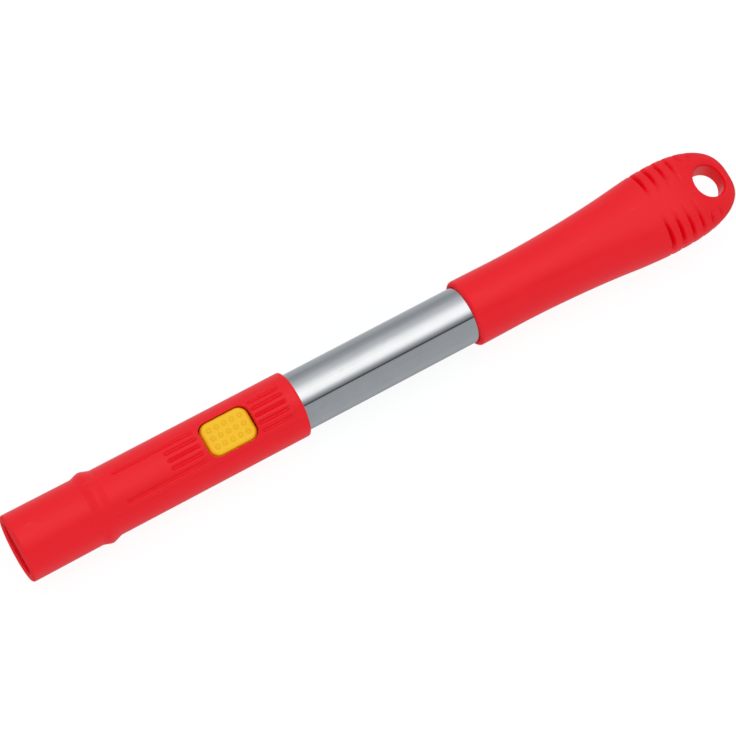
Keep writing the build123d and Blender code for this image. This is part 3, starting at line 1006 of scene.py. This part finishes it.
# ---------------------------------------------------------------- floor
def make_floor():
    """Pale paper under the handle's lowest point."""
    bm = bmesh.new()
    bmesh.ops.create_grid(bm, x_segments=1, y_segments=1, size=6.0)
    bmesh.ops.translate(bm, vec=(cad_high.x / 2, 0, cad_low.z), verts=bm.verts)
    mesh = bpy.data.meshes.new("floor")
    bm.to_mesh(mesh)
    bm.free()
    floor = bpy.data.objects.new("floor", mesh)
    bpy.context.scene.collection.objects.link(floor)
    paper = bpy.data.materials.new("pale paper")
    paper.use_nodes = True
    surface = paper.node_tree.nodes["Principled BSDF"]
    surface.inputs["Base Color"].default_value = (0.14, 0.14, 0.14, 1.0)
    surface.inputs["Roughness"].default_value = 1.0
    surface.inputs["Specular IOR Level"].default_value = 0.0
    surface.inputs["Emission Color"].default_value = (0.985, 1.0, 1.0, 1.0)
    surface.inputs["Emission Strength"].default_value = 0.9
    mesh.materials.append(paper)
    floor.visible_glossy = False


make_floor()


# ---------------------------------------------------------------- light
handle_middle = Vector((0.195, 0, 0))

# studio reflections round the handle's axis: degrees from straight up towards +Y, and brightness
studio = (
    (-180, 0.30),
    (-137, 0.39),
    (-105, 0.36),
    (-46, 0.34),
    (-39.5, 0.31),
    (-38, 0.03),
    (-35.5, 0.03),
    (-33, 0.17),
    (-25, 0.325),
    (-20, 0.475),
    (-14.6, 0.72),
    (-9.3, 0.92),
    (-4, 1.05),
    (6, 1.09),
    (22, 1.0),
    (39, 0.70),
    (45, 0.59),
    (58, 0.48),
    (71, 0.37),
    (87, 0.30),
    (97, 0.32),
    (110, 0.38),
    (128, 0.43),
    (150, 0.55),
    (180, 0.30),
)


def make_world():
    """Even white light on matt surfaces, and a soft overhead strip for shiny ones to reflect."""
    world = bpy.data.worlds.new("studio")
    bpy.context.scene.world = world
    world.use_nodes = True
    world.cycles.sampling_method = "NONE"
    tree = world.node_tree
    tree.nodes.clear()
    way = group_node(tree, "ShaderNodeTexCoord").outputs["Generated"]
    parts = group_node(tree, "ShaderNodeSeparateXYZ")
    tree.links.new(way, parts.inputs["Vector"])
    angle = maths(tree, "ARCTAN2", parts.outputs["Y"], parts.outputs["Z"])
    share = map_range(tree, angle, -math.pi, math.pi, 0.0, 1.0)
    # the strip fades out beyond the handle's ends
    near_end = map_range(tree, parts.outputs["X"], -0.25, 0.05, 0.0, 1.0)
    far_end = map_range(tree, parts.outputs["X"], 0.42, 0.68, 1.0, 0.0)
    strip = maths(tree, "MULTIPLY", near_end, far_end)
    ramp = group_node(tree, "ShaderNodeValToRGB")
    stops = ramp.color_ramp.elements
    while len(stops) < len(studio):
        stops.new(0.5)
    for stop, (degrees, level) in zip(stops, studio):
        stop.position = (degrees + 180) / 360
        cool = 0.07 * (1 - min(1.0, level))
        stop.color = (level * (1 - cool), level, level * (1 + cool), 1.0)
    tree.links.new(share, ramp.inputs["Fac"])
    glossy = group_node(tree, "ShaderNodeBackground")
    blend = group_node(tree, "ShaderNodeMix", data_type="RGBA")
    beyond = map_range(tree, parts.outputs["Z"], -0.9, 0.0, 0.06, 0.28)
    tree.links.new(beyond, blend.inputs["A"])
    tree.links.new(strip, blend.inputs["Factor"])
    tree.links.new(ramp.outputs["Color"], blend.inputs["B"])
    tree.links.new(blend.outputs["Result"], glossy.inputs["Color"])
    matt = group_node(tree, "ShaderNodeBackground")
    matt.inputs["Color"].default_value = (0.78, 0.78, 0.78, 1.0)
    mix = group_node(tree, "ShaderNodeMixShader")
    rays = group_node(tree, "ShaderNodeLightPath")
    tree.links.new(rays.outputs["Is Glossy Ray"], mix.inputs["Fac"])
    tree.links.new(matt.outputs["Background"], mix.inputs[1])
    tree.links.new(glossy.outputs["Background"], mix.inputs[2])
    out = group_node(tree, "ShaderNodeOutputWorld")
    tree.links.new(mix.outputs["Shader"], out.inputs["Surface"])


def make_key_light():
    """Large soft light overhead, a little behind, which shapes the matt surfaces."""
    lamp = bpy.data.lights.new("overhead softbox", "AREA")
    lamp.shape = "RECTANGLE"
    lamp.size = 1.6
    lamp.size_y = 0.9
    lamp.energy = 4.2
    light = bpy.data.objects.new("overhead softbox", lamp)
    light.location = (0.1, 0.35, 1.3)
    downwards = handle_middle - light.location
    light.rotation_euler = downwards.to_track_quat("-Z", "Y").to_euler()
    light.visible_glossy = False
    bpy.context.scene.collection.objects.link(light)


make_world()
make_key_light()


# ---------------------------------------------------------------- camera
def make_camera():
    """Long lens looking steeply down from the mouth's end, with the handle rising to the right.

    towards points from the handle to the camera, and axis_in_view is the handle's axis as it is
    seen, at right angles to it.
    """
    distance = 1.4
    towards = Vector((-0.2588, -0.189, 0.947)).normalized()
    axis_in_view = Vector((0.9659, -0.0507, 0.2539)).normalized()
    rise = math.radians(27.7)
    across_axis = towards.cross(axis_in_view)
    right = axis_in_view * math.cos(rise) - across_axis * math.sin(rise)
    up = axis_in_view * math.sin(rise) + across_axis * math.cos(rise)
    aim_right, aim_up = 0.00537, 0.00389
    back = (towards + right * aim_right + up * aim_up).normalized()
    right = up.cross(back).normalized()
    up = back.cross(right)
    data = bpy.data.cameras.new("camera")
    data.lens = 145.76
    data.sensor_width = 36.0
    camera = bpy.data.objects.new("camera", data)
    place = Matrix.Translation(handle_middle + towards * distance)
    camera.matrix_world = place @ Matrix((right, up, back)).transposed().to_4x4()
    bpy.context.scene.collection.objects.link(camera)
    bpy.context.scene.camera = camera


make_camera()
bpy.context.scene.view_settings.view_transform = "Standard"
